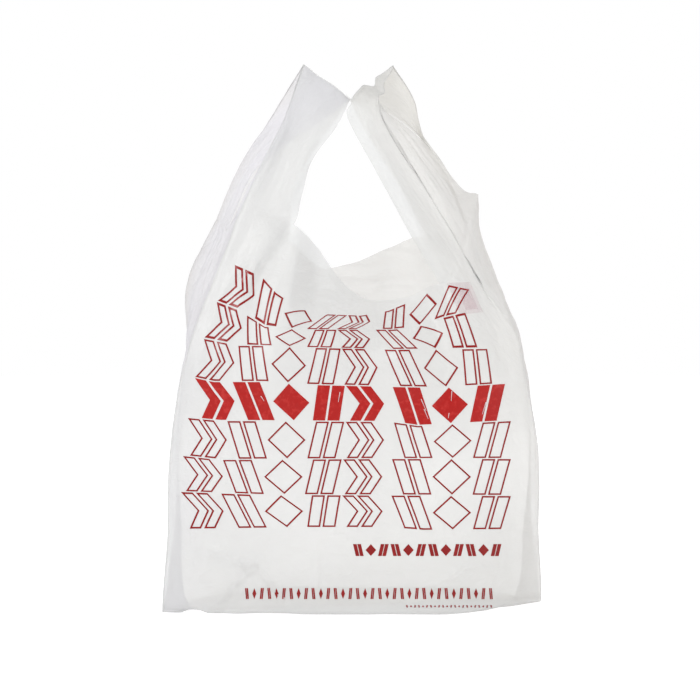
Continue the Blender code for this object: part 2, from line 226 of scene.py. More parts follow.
# Where the crease begins as a share of a strip, the step along a handle that
# gives its direction, the shares of it in which it turns to its seal and leaves
# its foot, and the share of the bag's height down to which it bends with its seal
CREASE_BEGINS = 0.9
NEXT_TO = 0.02
SEAL_TURN = 0.9
FOOT_FADE = 0.45
CRUMPLE_REACH = 0.11

# How the film settles. In each round it is pulled to its length, bent flat and
# drawn home by these shares, and keeps some of its speed. Its speed in a round
# and its way in all have limits, in metres.
PULL_SHARE = 1.5
BEND_SHARE = 0.12
HOME_SHARE = 0.004
KEPT_SPEED = 0.8
TOP_SPEED = 0.0008
FARTHEST = 0.008
ROUNDS = 160

# How much too long the film is, as a share: everywhere, near the mouth and in
# the gussets, and in the loose part of the handles
BODY_ACROSS = (0.004, 0.035, 0.012)
BODY_ALONG = (0.006, 0.018, 0.008)
HANDLE_ACROSS = 0.06
HANDLE_ALONG = 0.02

# How strong each kind of crease is: everywhere, and then in the places that
# film_shape names
BODY_UPRIGHT = (0.15, 0.6, 0.9)
BODY_LEVEL = (0.15, 0.9, 2.4)
BODY_FACETS = (0.4, 0.3, 0.7)
HANDLE_UPRIGHT = (0.12, 0.75)
HANDLE_FACETS = (0.1, 0.5)

# The creases: kind, share, distance across and along in mm, lean and seed
CREASES = [
    ("upright", 1, 9, 75, 0.1, 11),
    ("upright", 0.6, 5, 30, -0.25, 21),
    ("level", 1, 55, 7, 0.05, 31),
    ("facets", 1, 34, 42, 0.3, 41),
    ("facets", 0.35, 12, 15, -0.4, 51),
]
CREASE_START = 0.001
CREASE_HEIGHT = 0.0006

# The finer part of the noise that makes them, and how far off the other is read
FINER, FINER_SHARE = 2.1, 0.45
NOISE_OFFSET = (31.7, 11.3)
LATTICE = 64

# How firmly the film is held at the body's creases and the handles' edges, and
# where it takes no fine creases
CREASE_HOLD = 0.3
EDGE_HOLD = 0.2
LOOSE_HOLD = 0.9

# The heights over which the mouth's zone begins and the floor's ends, metres, the
# shares of half a handle over which it is no longer loose and becomes held, and
# the shares of half a face over which its middle ends
MOUTH_FROM = (0.16, 0.25)
FLOOR_TO = (0.002, 0.016)
LOOSE_TO = (0.55, 0.93)
HELD_FROM = (0.7, 0.97)
MIDDLE_TO = (0.3, 1.1)

# Half width and depth of the valley along the creases of each handle, mm, and
# the heights over which it begins and ends, metres
VALLEY_WIDTH = 15
CREASE_VALLEY = {"R": 5, "L": -3}
VALLEY_FROM, VALLEY_TO = (0.2, 0.26), (0.37, 0.41)

# Half width and depth of the old fold line down the middle of each gusset, mm
GUSSET_LINE = (5, 2.2)
LINE_FROM, LINE_TO = (0.02, 0.06), (0.22, 0.26)

# Sharp folds in the front: x and height of both ends, half width, height, mm
SHARP_FOLDS = [
    (-108, 49, -89, 41, 2.8, 2.6), (-89, 41, -76, 35, 2.8, 3.2),
    (-76, 35, -92, 20, 3, -2.6), (-92, 20, -102, 4, 3, -2),
    (-76, 35, -67, 21, 3, -2.4), (-67, 21, -54, 11, 3.2, -2),
    (-29, 48, -29, 16, 2.8, 1.3), (55, 18, 81, 32, 3, 1.8),
    (96, 18, 108, 23, 3, 1.6), (88, 8, 102, 14, 3.2, 1),
    (-120, 92, -126, 40, 4, 0.6), (119, 140, 124, 96, 3.5, 0.6),
    (-112, 150, -118, 118, 3.5, 0.5), (-98, 12, -120, 3, 3.2, 0.9),
    (-50, 300, -71, 272, 4, -2.6), (-71, 272, -78, 252, 4, -2),
    (-58, 292, -100, 246, 3.5, 1.2), (-46, 288, -52, 240, 3.5, 1.2),
    (-20, 96, -16, 62, 3, 0.6), (62, 104, 70, 60, 3.2, 0.7),
    (-84, 128, -60, 112, 3.2, 0.7),
]

# Where the front's bottom edge is lifted: x of its middle, half width, height, mm
LIFTS = [(-125, 8, 2.6), (-64, 20, 0.7), (40, 24, 0.6), (128, 17, 3.4)]
LIFTED_HEIGHT = 16
LIFTED_DEPTH = (-70, -30)

# The film's white, and its painted light tints by their share of the way round the bag from
# the front left crease (the two ends first), and how far they sway. The tints are painted
# light: a paler lavender on the left gusset and warmer, greyer tones round the right and back
# stand for how the light falls, not for the film's own colour
FILM_WHITE = (0.90, 0.90, 0.895)
PAINTED_LIGHT_TINTS = [
    (0, (0.89, 0.89, 0.91)), (0.98, (0.925, 0.915, 0.955)),
    (0.055, (0.88, 0.888, 0.884)), (0.32, (0.865, 0.873, 0.868)),
    (0.42, (0.895, 0.882, 0.866)), (0.60, (0.88, 0.863, 0.82)),
    (0.84, (0.88, 0.866, 0.85)), (0.92, (0.905, 0.895, 0.94)),
]
PAINTED_TINT_SWAY = 0.12

# How rough the film and the ink are, how much of the film's white glows from
# behind, and how much of it covers: least and most, and more where it slopes
GLOSS_ROUGHNESS = 0.34
GLOW_SHARE = 0.42
FILM_COVER = (0.52, 0.7)
SLOPE_COVER = 0.16

# Lights: name, place, size and power
LIGHTS = [
    ("key", (-1.3, -1.2, 1.5), 0.7, 18),
    ("fill", (1.4, -1.2, 0.7), 1.2, 6.5),
    ("rear", (0.7, 1.3, 1.2), 0.8, 11),
]
LIGHTS_AIM = Vector((0, 0, 0.2))
WHITE = (1, 1, 1, 1)
WORLD_LIGHT = 0.52
FLOOR_GLOW = 0.55
FLOOR_RADIUS = 3
FLOOR_DROP = 0.0006
BAG_LIFT = 0.0001

# The camera: its aim, distance, rise and the width that it sees there
CAMERA_AIM = Vector((-0.0032, 0, 0.2025))
CAMERA_DISTANCE = 2.2
CAMERA_RISE = math.radians(3)
VIEW_WIDTH = 0.5633
SENSOR = 36
VIEW_PIXELS = 700

# The rows of printed shapes, each between two lines drawn in the view's
# 700 x 700 frame, with its left and right ends at the top and at the bottom
LINES = [
    [(235, 265), (262, 277), (276, 293), (289, 302), (312, 314), (361, 316),
     (389, 311), (408, 303), (432, 291), (448, 285), (470, 290)],
    [(217, 302), (240, 311), (265, 327), (300, 330), (392, 330), (415, 328),
     (443, 318), (464, 313)],
    [(204, 339), (239, 346), (265, 346), (312, 348), (396, 350), (488, 349)],
    [(195, 378), (214, 382), (265, 382), (310, 385), (441, 388), (503, 384)],
    [(188, 418), (220, 421), (391, 422), (418, 426), (512, 421)],
    [(183, 456), (220, 460), (391, 459), (512, 459)],
    [(181, 492), (261, 495), (512, 496)],
    [(185, 530), (305, 528), (388, 528), (424, 531), (512, 530)],
]
ENDS = [
    (235, 470, 217, 464), (217, 466, 204, 488), (204, 488, 195, 503),
    (195, 506, 202, 507), (188, 512, 190, 512), (183, 512, 186, 512),
    (181, 512, 190, 512),
]
SOLID_ROW = 3
SHAPES_IN_ROW = 8
SHAPES_BEFORE_GAP = 5
SHAPE_FILL = 0.97
SHORTEST_ROW = 24
GAP = 9
OUTLINE = 1.6
ROW_GAP_SHARE = 0.7
PRINT_STEP = 1.8
CORE_SHARE = 0.06
# Left, right, top and bottom of the small rows, their shapes and how wide a
# shape is in its cell
SMALL_ROWS = [
    (353, 503, 544, 556, 12, 0.86), (245, 496, 588, 599, 34, 0.55),
    (406, 494, 605, 607.5, 22, 0.5),
]

# Printed shapes in a cell one unit wide and high. Halfway round from its first
# corner, each has the corner across its middle.
CHEVRONS = [
    [(0.32, 0.5), (0, 0), (0.3, 0), (0.62, 0.5), (0.3, 1), (0, 1)],
    [(0.7, 0.5), (0.38, 0), (0.68, 0), (1, 0.5), (0.68, 1), (0.38, 1)],
]
LEANING = [
    [(0, 0), (0.34, 0), (0.6, 1), (0.26, 1)],
    [(0.4, 0), (0.74, 0), (1, 1), (0.66, 1)],
]
DIAMOND = [[(0.5, 0), (1, 0.5), (0.5, 1), (0, 0.5)]]
LEANING_BACK = [
    [(0.26, 0), (0.6, 0), (0.34, 1), (0, 1)],
    [(0.66, 0), (1, 0), (0.74, 1), (0.4, 1)],
]
SHAPES = [CHEVRONS, LEANING, DIAMOND, LEANING_BACK]
SMALL_SHAPES = SHAPES[1:]

# Height of the print over the film, metres, and the shares of it at which the
# faint patches and the painted highlight lines lie
PRINT_LIFT = 0.0003
GHOST_LIFTS = (0.4, 0.7)
GLINT_STREAK_LIFT = 2

# Print on the folded film behind, faint through the front: a pale patch and
# a smaller one over it
GHOST_SHAPES = [
    [(447, 283), (470, 282), (483, 312), (460, 315)],
    [(457, 288), (469, 288), (478, 309), (466, 310)],
]

# Painted highlights: fine pale glint lines on the solid row, where light catches the creased
# ink, each between two places, and half their width
GLINT_STREAKS = [
    (452, 391, 451, 401), (449, 413, 448, 418), (486, 402, 482, 414),
    (421, 399, 426, 411), (424, 409, 428, 419),
    (261, 396, 264, 401), (340, 392, 338, 402),
]
GLINT_STREAK_WIDTH = 0.4

# The inks: name, colour where worn, colour, and how far they cover
INKS = [
    ("red_ink", (0.60, 0.03, 0.025), (0.48, 0.007, 0.005), 1),
    ("dark_red_ink", (0.36, 0.012, 0.010), (0.30, 0.005, 0.005), 1),
    # This pale pink ink is a painted highlight: the glint lines over the solid row
    ("painted_glint_ink", (0.80, 0.68, 0.70), (0.76, 0.62, 0.65), 1),
    ("ghost_ink", (0.62, 0.30, 0.38), (0.58, 0.26, 0.34), 0.16),
]
RED_INK, OUTLINE_INK, GLINT_INK, GHOST_INK = range(4)


def smooth(share):
    share = min(1.0, max(0.0, share))
    return share * share * (3 - 2 * share)


def drawn(point):
    """A drawn point in metres at the bag's own sizes."""
    x, y, z = point
    return Vector((0.001 * WIDE * x, 0.001 * DEEP * y, 0.001 * TALL * z))


def above(point):
    """The same for a point whose height counts from the shoulder."""
    x, y, z = point
    return drawn((x, y, z + SHOULDER))


def spline(points, along):
    """A point on the curve through the given points, along counts in points."""
    ends = [2 * points[0] - points[1]] + list(points) + [2 * points[-1] - points[-2]]
    i = min(int(along), len(points) - 2)
    u = along - i
    a, b, c, d = ends[i:i + 4]
    return 0.5 * (
        2 * b + (c - a) * u
        + (2 * a - 5 * b + 4 * c - d) * u * u
        + (3 * b - a - 3 * c + d) * u ** 3
    )


def by_length(points, first=0, last=None, samples=48):
    """Part of the curve as a function of its share of length."""
    last = len(points) - 1 if last is None else last
    fine = [
        spline(points, first + (last - first) * i / samples)
        for i in range(samples + 1)
    ]
    run = [0.0]
    for a, b in zip(fine, fine[1:]):
        run.append(run[-1] + (b - a).length)

    def at(share):
        goal = share * run[-1]
        i = next((k for k in range(samples) if run[k + 1] >= goal), samples - 1)
        u = (goal - run[i]) / max(run[i + 1] - run[i], 1e-12)
        return fine[i].lerp(fine[i + 1], min(1.0, u))

    return at


def half_width(z):
    """Half the width of the lower part: a slight flare, then drawn in."""
    over = max(0.0, z - FLARE_HEIGHT) / (SHOULDER - FLARE_HEIGHT)
    flare = FLARE * (1 - smooth(z / FLARE_FADE))
    return FACE_HALF * (1 + flare - DRAWN_IN * over * over)


def lower_point(rail, z):
    """Where a rail crosses the given height in the lower part, drawn mm."""
    side = -1 if rail.endswith("L") else 1
    back = 1 if rail.startswith("back") else -1
    face = BASE_DEPTH + (FACE_DEPTH - BASE_DEPTH) * smooth(z / BASE_ROUND)
    forward = SEAL_FORWARD.get(rail[-1], 0.0)
    if rail.endswith("middle"):
        return 0.0, back * (face + MIDDLE_BULGE), z
    if "edge" in rail:
        x = FACE_HALF - EDGE_INSET * STRIP_SHARE
        x += EDGE_SPREAD * smooth(z / EDGE_SPREAD_HEIGHT)
        return side * x, back * face, z
    if "crease" in rail:
        opened = min(1.0, z / CREASE_RISE) ** CREASE_CURVE
        y = SEAL_END_DEPTH + (CREASE_DEPTH - SEAL_END_DEPTH) * opened
        return side * half_width(z), back * y - forward * (1 - opened), z
    tuck = TUCK_AT_BASE
    tuck += (TUCK_AT_SHOULDER - TUCK_AT_BASE) * math.sqrt(z / SHOULDER)
    y = -forward * (1 - smooth(z / CREASE_RISE))
    return side * (half_width(z) - tuck), y, z


def upper_points(rail):
    """A rail's own points from the shoulder to its end."""
    own = [above(p) for p in UPPER[rail]]
    if rail.endswith("middle"):
        front = rail.startswith("front")
        mouth = FRONT_MOUTH_HEIGHT if front else BACK_MOUTH_HEIGHT
        raised = mouth - own[-1].z
        for i, point in enumerate(own):
            point.z += raised * (i + 1) / len(own)
    if "edge" in rail:
        crease = above(UPPER[rail.replace("edge", "crease")][-1])
        own[-1] = crease.lerp(own[-1], STRIP_SHARE)
    return own


def body_rail(rail):
    """A rail from the shoulder to the mouth or the foot of a handle."""
    start = [drawn(lower_point(rail, SHOULDER - d)) for d in (RUN_IN, 0)]
    points = start + upper_points(rail)
    end = len(points) - 1
    if rail in HANDLE:
        points += handle_points(rail)[1:2]
    return by_length(points, 1, end)


def handle_points(rail):
    """A handle's rail from its foot to its end of the seal."""
    kind, side = rail[:-2], rail[-1]
    foot = FOOT.get(kind, kind) + "_" + side
    inner, outer = above(SEAL[side][0]), above(SEAL[side][-1])
    own = [above(p) for p in HANDLE[rail]]
    if "crease" in kind:
        return [upper_points(foot)[-1]] + own + [outer]
    crease = ("front" if "front" in kind else "back") + "_crease_" + side
    beside = [above(p) for p in HANDLE[crease]]
    own = [c.lerp(p, STRIP_SHARE) for c, p in zip(beside, own)]
    return [upper_points(foot)[-1]] + own + [inner]


def handle_rail(rail):
    points = handle_points(rail)
    kind = rail[:-2]
    if kind in FOOT:
        return by_length(points)
    before = upper_points(rail)[-2]
    return by_length([before] + points, 1)


def fold_depth(folds, a, z):
    """The sum of the folds at a place in a face or side, drawn mm."""
    total = 0.0
    for a0, z0, a1, z1, width, depth in folds:
        da, dz = a1 - a0, z1 - z0
        share = ((a - a0) * da + (z - z0) * dz) / (da * da + dz * dz)
        share = min(1.0, max(0.0, share))
        gap2 = (a - a0 - share * da) ** 2 + (z - z0 - share * dz) ** 2
        total += depth * math.exp(-gap2 / (width * width))
    return total


def in_drawn(point):
    return 1000 * point.x / WIDE, 1000 * point.y / DEEP, 1000 * point.z / TALL


def face_run(ring, back):
    """The points across a face, in the order in which the ring is walked."""
    name = "back_" if back else "front_"
    a, b = "RL" if back else "LR"
    rails = ("crease_" + a, "edge_" + a, "middle", "edge_" + b, "crease_" + b)
    corners = [ring[name + rail] for rail in rails]
    counts = (STRIP, FACE_COLUMNS, FACE_COLUMNS, STRIP)
    folds = BACK_FOLDS if back else FRONT_FOLDS
    outward = Vector((0, 0.001 if back else -0.001, 0))
    run = []
    for part, count in enumerate(counts):
        for k in range(count):
            along = part + k / count
            point = spline(corners, along)
            x, y, z = in_drawn(point)
            point.z = max(point.z, 0.0)
            held = min(1.0, 2.5 * min(along, 4 - along)) * smooth(z / FACE_FOLDS_FROM)
            run.append(point + outward * held * fold_depth(folds, x, z))
    return run


def side_run(ring, side):
    """The points across a gusset, in the order in which the ring is walked."""
    first, last = ("front", "back") if side == "R" else ("back", "front")
    corners = [
        ring[first + "_crease_" + side], ring["side_fold_" + side],
        ring[last + "_crease_" + side],
    ]
    outward = Vector((0.001 if side == "R" else -0.001, 0, 0))
    run = []
    for part in range(2):
        for k in range(STRIP):
            share = k / STRIP
            point = corners[part].lerp(corners[part + 1], share)
            x, y, z = in_drawn(point)
            held = math.sin(math.pi * share) * smooth(z / SIDE_FOLDS_FROM)
            depth = fold_depth(SIDE_FOLDS[side], y, z)
            run.append(point + outward * held * depth)
    return run


COLUMNS = 2 * (STRIP + FACE_COLUMNS)
HALF = COLUMNS + 2 * STRIP
RING = 2 * HALF


def body_rows():
    rails = {rail: body_rail(rail) for rail in UPPER}
    places = []
    for i in range(LOWER_ROWS):
        z = SHOULDER * i / LOWER_ROWS
        places.append({r: drawn(lower_point(r, z)) for r in UPPER})
    for i in range(UPPER_ROWS + 1):
        places.append({r: rails[r](i / UPPER_ROWS) for r in rails})
    return [
        face_run(at, False) + side_run(at, "R") + face_run(at, True) + side_run(at, "L")
        for at in places
    ]


def seal_frame(side):
    """The seal's inner end, chord, normal towards the front and way up."""
    inner, outer = above(SEAL[side][0]), above(SEAL[side][-1])
    chord = outer - inner
    turn = 1 if side == "R" else -1
    up = Vector((-chord.z, 0, chord.x)).normalized() * turn
    normal = chord.cross(up).normalized() * turn
    return inner, chord, normal, up


def crumpled(point, side):
    """Bends all the layers near a seal as one, along the drawn seal."""
    inner, chord, normal, up = seal_frame(side)
    bends = [Vector(bend) * 0.001 for bend in CRUMPLE[side]]
    c = (point - inner).dot(chord) / chord.length_squared
    c = min(1.0, max(0.0, c))
    below = max(0.0, (inner + chord * c - point).dot(up))
    bend = spline(bends, c * (len(bends) - 1))
    bend *= smooth(1 - below / (CRUMPLE_REACH * STANDING_HEIGHT))
    return point + up * bend.x - normal * bend.y


def ribbon(side, back, feet):
    """Half a handle, from its foot to its seal, with one list for each row."""
    name = "back" if back else "front"
    rails = {
        "crease": handle_rail(name + "_crease_" + side),
        "face": handle_rail(name + "_edge_" + side),
        "gusset": handle_rail("gusset_" + name + "_" + side),
    }
    columns = [("face", k / STRIP) for k in range(STRIP + 1)]
    columns += [("gusset", 1 - k / STRIP) for k in range(1, STRIP + 1)]
    sign = 1 if back else -1
    turn = 1 if side == "R" else -1

    def strip_point(kind, c, t):
        return rails[kind](t).lerp(rails["crease"](t), c)

    def place(kind, c, t):
        point = strip_point(kind, c, t)
        ahead = strip_point(kind, c, min(1, t + NEXT_TO))
        behind = strip_point(kind, c, max(0, t - NEXT_TO))
        normal = (rails["crease"](t) - rails[kind](t)).cross(ahead - behind)
        normal = normal.normalized() * (turn * -sign)
        at_seal = seal_frame(side)[2] * -sign
        normal = normal.lerp(at_seal, smooth(t / SEAL_TURN)).normalized()
        wave = math.sin(math.pi * PLEATS * c) * math.sin(math.pi * t)
        depth = PLEAT_DEPTH * (1.0 if kind == "face" else 0.5)
        layer = FACE_LAYER if kind == "face" else GUSSET_LAYER
        turned = smooth((c - CREASE_BEGINS) / (1 - CREASE_BEGINS))
        layer += (CREASE_LAYER - layer) * turned
        out = 0.001 * depth * wave * (1 - t) + layer * LAYER_PITCH * smooth(t)
        return crumpled(point + normal * out, side)

    starts = [foot - place(kind, c, 0) for foot, (kind, c) in zip(feet, columns)]
    rows = []
    for j in range(1, HANDLE_ROWS + 1):
        t = j / HANDLE_ROWS
        fade = 1 - smooth(t / FOOT_FADE)
        rows.append([
            place(kind, c, t) + start * fade
            for start, (kind, c) in zip(starts, columns)
        ])
    return rows


class Film:
    """The film's points, its grids of point numbers, and its flat coordinates.

    around counts in mm round the flat tube from the front left crease, and
    along counts in mm up the film from the base.
    """

    def __init__(self):
        self.points = []
        self.body = [self.add(row) for row in body_rows()]
        top = self.body[-1]
        left = HALF + COLUMNS
        self.handles = {}
        for side, front, back in (
            ("R", top[COLUMNS - STRIP:COLUMNS + STRIP + 1],
             top[COLUMNS + STRIP:HALF + STRIP + 1][::-1]),
            ("L", (top[left + STRIP:] + top[:STRIP + 1])[::-1],
             top[left - STRIP:left + STRIP + 1]),
        ):
            self.handles[side] = self.handle(side, front, back)
        self.base, self.seal = self.base_halves()
        self.co = np.array([tuple(p) for p in self.points])
        self.around, self.along = self.flat_places()
        parts = [grid_quads(self.body, True), grid_quads(self.handles["R"])]
        parts.append(grid_quads([row[::-1] for row in self.handles["L"]]))
        parts += [grid_quads(half)[:, ::-1] for half in self.base]
        self.quads = np.concatenate(parts)

    def add(self, row):
        first = len(self.points)
        self.points.extend(row)
        return list(range(first, len(self.points)))

    def handle(self, side, front_feet, back_feet):
        """The rows of a handle from its front foot over the seal to the back."""
        halves = []
        for back, feet in ((False, front_feet), (True, back_feet)):
            rows = ribbon(side, back, [self.points[i] for i in feet])
            halves.append([feet] + [self.add(row) for row in rows])
        front, back = halves
        crest = []
        for k, (a, b) in enumerate(zip(front[-1], back[-1])):
            turned = (k / STRIP - CREASE_BEGINS) / (2 - 2 * CREASE_BEGINS)
            layer = FACE_LAYER + (CREST_LAYER - FACE_LAYER) * smooth(turned)
            rise = LAYER_PITCH * layer
            middle = 0.5 * (self.points[a] + self.points[b])
            crest.append(middle + seal_frame(side)[3] * rise)
        return front + [self.add(crest)] + back[::-1]

    def base_halves(self):
        """The two halves of the base, each from its wall to the seal."""
        ring = self.body[0]
        right, left = ring[COLUMNS + STRIP], ring[HALF + COLUMNS + STRIP]
        line = []
        for k in range(1, COLUMNS):
            point = self.points[left].lerp(self.points[right], k / COLUMNS)
            ridge = 0.001 * SEAL_RIDGE * smooth(min(k, COLUMNS - k) / RIDGE_ENDS)
            line.append(point + Vector((0, 0, ridge)))
        line = [left] + self.add(line) + [right]
        front, back = ring[:COLUMNS + 1], ring[HALF:HALF + COLUMNS + 1]
        halves = []
        for wall, seal in ((front, line), (back, line[::-1])):
            rows = [wall[1:COLUMNS]]
            for share in BASE_SHARES:
                row = []
                for a, b in zip(wall[1:COLUMNS], seal[1:COLUMNS]):
                    a, b = self.points[a], self.points[b]
                    row.append(a.lerp(Vector((b.x, b.y, a.z)), share))
                rows.append(self.add(row))
            rows.append(seal[1:COLUMNS])
            halves.append(rows)
        return halves, line

    def flat_places(self):
        half_face, half_gusset = 500 * FACE_WIDTH, 500 * GUSSET_WIDTH
        strip = 1000 * HANDLE_WIDTH
        steps = []
        for _ in range(2):
            steps += [strip / STRIP] * STRIP
            steps += [(half_face - strip) / FACE_COLUMNS] * 2 * FACE_COLUMNS
            steps += [strip / STRIP] * STRIP
            steps += [half_gusset / STRIP] * 2 * STRIP
        ring = np.concatenate([[0], np.cumsum(steps)[:-1]])
        around = np.zeros(len(self.co))
        along = np.zeros(len(self.co))
        body = np.array(self.body)
        around[body] = ring
        for lower, upper in zip(body, body[1:]):
            along[upper] = along[lower] + self.apart(lower, upper)
        runs = [(half, -1) for half in self.base]
        for rows in self.handles.values():
            middle = len(rows) // 2
            runs += [(rows[:middle + 1], 1), (rows[:middle:-1], 1)]
        for rows, way in runs:
            for before, row in zip(rows, rows[1:]):
                around[row] = around[rows[0]]
                along[row] = along[before] + way * self.apart(before, row)
        return around, along

    def apart(self, a, b):
        return 1000 * np.linalg.norm(self.co[a] - self.co[b], axis=1)


def joined(*grids):
    """The numbers at the same places of the grids, side by side."""
    return np.stack([g.ravel() for g in grids], axis=1)


def grid_quads(grid, closed=False):
    g = np.array(grid)
    if closed:
        g = np.concatenate([g, g[:, :1]], axis=1)
    return joined(g[:-1, :-1], g[:-1, 1:], g[1:, 1:], g[1:, :-1])


def pairs_of(grid, closed=False):
    """Neighbours across and along a grid, its diagonals, and its triples."""
    g = np.array(grid)
    if closed:
        g = np.concatenate([g, g[:, :1]], axis=1)
    across = joined(g[:, :-1], g[:, 1:])
    along = joined(g[:-1], g[1:])
    diagonal = [joined(g[:-1, :-1], g[1:, 1:]), joined(g[:-1, 1:], g[1:, :-1])]
    bends = [joined(g[:, :-2], g[:, 1:-1], g[:, 2:]), joined(g[:-2], g[1:-1], g[2:])]
    return across, along, np.concatenate(diagonal), np.concatenate(bends)


def summed(index, steps, count):
    """The sum of the steps that belong to each point."""
    return np.stack([np.bincount(index, steps[:, k], count) for k in range(3)], axis=1)


def vertex_normals(points, quads):
    q = points[quads]
    face = np.cross(q[:, 2] - q[:, 0], q[:, 3] - q[:, 1])
    normals = sum(summed(quads[:, k], face, len(points)) for k in range(4))
    length = np.linalg.norm(normals, axis=1, keepdims=True)
    return normals / np.maximum(length, 1e-12)


def ramp(values, low, high):
    share = np.clip((values - low) / (high - low), 0, 1)
    return share * share * (3 - 2 * share)


def noise(a, b, seed):
    """Smooth noise from -1 to 1 over a plane, with cells one unit wide."""
    lattice = np.random.default_rng(seed).uniform(-1, 1, (LATTICE, LATTICE))
    i, j = np.floor(a).astype(int), np.floor(b).astype(int)
    p, q = a - i, b - j
    p, q = p * p * (3 - 2 * p), q * q * (3 - 2 * q)

    def at(di, dj):
        return lattice[(i + di) % LATTICE, (j + dj) % LATTICE]

    return (
        at(0, 0) * (1 - p) * (1 - q) + at(1, 0) * p * (1 - q)
        + at(0, 1) * (1 - p) * q + at(1, 1) * p * q
    )


def creases(film, across, along, lean, seed):
    """Sharp creases about this many mm apart, from -1 to 1."""
    a = (film.around + lean * film.along) / across
    b = (film.along - lean * film.around) / along
    n = noise(a, b, seed)
    n += FINER_SHARE * noise(FINER * a, FINER * b, seed + 1)
    m = noise(a + NOISE_OFFSET[0], b + NOISE_OFFSET[1], seed + 2)
    return np.abs(n) - np.abs(m)


def settle(film, slack_across, slack_along, hold, start, rounds):
    """Lets the film buckle where it is longer than the form it is drawn on.

    slack is the share by which the film is too long at each point, hold is
    how firmly a point keeps its place, and start moves it out to begin with.
    """
    target = film.co
    grids = [pairs_of(film.body, True)] + [pairs_of(h) for h in film.handles.values()]
    across, along, diagonal, bends = map(np.concatenate, zip(*grids))

    def rest(pairs, slack):
        length = np.linalg.norm(target[pairs[:, 0]] - target[pairs[:, 1]], axis=1)
        return length * (1 + 0.5 * (slack[pairs[:, 0]] + slack[pairs[:, 1]]))

    both = 0.5 * (slack_across + slack_along)
    pairs = np.concatenate([across, along, diagonal])
    lengths = np.concatenate([
        rest(across, slack_across), rest(along, slack_along), rest(diagonal, both)
    ])
    i, j = pairs[:, 0], pairs[:, 1]
    count = len(target)
    valence = np.maximum(np.bincount(pairs.ravel(), minlength=count), 1)[:, None]
    a, b, c = bends.T
    bend_valence = np.maximum(np.bincount(b, minlength=count), 1)[:, None]
    x = target + start
    velocity = np.zeros_like(x)
    for _ in range(rounds):
        before = x.copy()
        x = x + velocity
        step = x[j] - x[i]
        length = np.linalg.norm(step, axis=1)
        pull = step * ((length - lengths) / np.maximum(length, 1e-9) * 0.5)[:, None]
        move = summed(i, pull, count) - summed(j, pull, count)
        x = x + PULL_SHARE * move / valence
        flat = 0.5 * (x[a] + x[c]) - x[b]
        x = x + BEND_SHARE * summed(b, flat, count) / bend_valence
        x = x + (target - x) * (HOME_SHARE + (1 - HOME_SHARE) * hold)[:, None]
        velocity = (x - before) * KEPT_SPEED
        speed = np.linalg.norm(velocity, axis=1, keepdims=True)
        velocity *= np.minimum(1.0, TOP_SPEED / np.maximum(speed, 1e-12))
    off = x - target
    far = np.linalg.norm(off, axis=1, keepdims=True)
    return target + off * np.minimum(1.0, FARTHEST / np.maximum(far, 1e-12))


def lifted(film):
    """Raises parts of the front's bottom edge a little off the floor."""
    x, y, z = 1000 * film.co.T
    rise = np.zeros(len(x))
    for middle, width, height in LIFTS:
        rise += height * np.exp(-((x - middle) / width) ** 4)
    rise *= (1 - ramp(z, 0, LIFTED_HEIGHT)) * (1 - ramp(y, *LIFTED_DEPTH))
    film.co[:, 2] += 0.001 * rise


def valleys(film):
    """How deep each point lies in the valleys along the handles' creases, mm."""
    whole = 1000 * TUBE
    face, tube_half = 1000 * FACE_WIDTH, whole / 2
    depth = np.zeros(len(film.co))
    for place, side in ((0, "L"), (face, "R"), (tube_half, "R"), (tube_half + face, "L")):
        apart = np.abs((film.around - place + tube_half) % whole - tube_half)
        depth += CREASE_VALLEY[side] * np.exp(-(apart / VALLEY_WIDTH) ** 2)
    z = film.co[:, 2]
    depth *= ramp(z, *VALLEY_FROM) * (1 - ramp(z, *VALLEY_TO))
    for place in (tube_half - 500 * GUSSET_WIDTH, whole - 500 * GUSSET_WIDTH):
        line = GUSSET_LINE[1] * np.exp(-((film.around - place) / GUSSET_LINE[0]) ** 2)
        depth += line * ramp(z, *LINE_FROM) * (1 - ramp(z, *LINE_TO))
    return depth


def sharp_folds(film):
    """The height of the front's sharp folds at each point, mm."""
    height = np.zeros(len(film.co))
    front = np.array(film.body)[:, :COLUMNS + 1].ravel()
    places = (1000 * film.co[front]).tolist()
    height[front] = [fold_depth(SHARP_FOLDS, x, z) for x, _, z in places]
    return height


def mixed(weights, *places):
    """The first weight everywhere, and each of the others in its place."""
    total = weights[0]
    for weight, place in zip(weights[1:], places):
        total = total + weight * place
    return total


